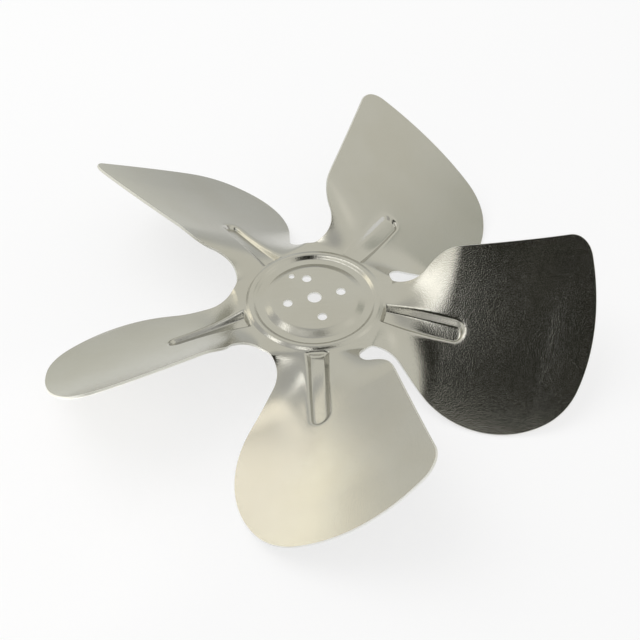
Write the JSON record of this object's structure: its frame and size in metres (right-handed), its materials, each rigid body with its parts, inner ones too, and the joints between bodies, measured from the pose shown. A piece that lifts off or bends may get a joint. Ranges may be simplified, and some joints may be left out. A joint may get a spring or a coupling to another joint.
{
  "type": "axial fan impeller",
  "caption": "Axial fan impeller pressed from one aluminium sheet: raised round hub with a shaft hole and fixing holes, twisted blades with a pressed stiffening rib.",
  "frame": {"origin": "on the shaft axis, halfway through the sheet of the flat hub disc", "axes": "+Z along the shaft, out of the side that the hub disc is raised on; the rib of the first blade lies along -Y"},
  "size_m": [0.2478, 0.2453, 0.0542],
  "materials": {
    "impeller": "rolled sheet, satin with a soft directional sheen, as pressed"
  },
  "bodies": {
    "root": {"impeller": "impeller"}
  },
  "joints": []
}
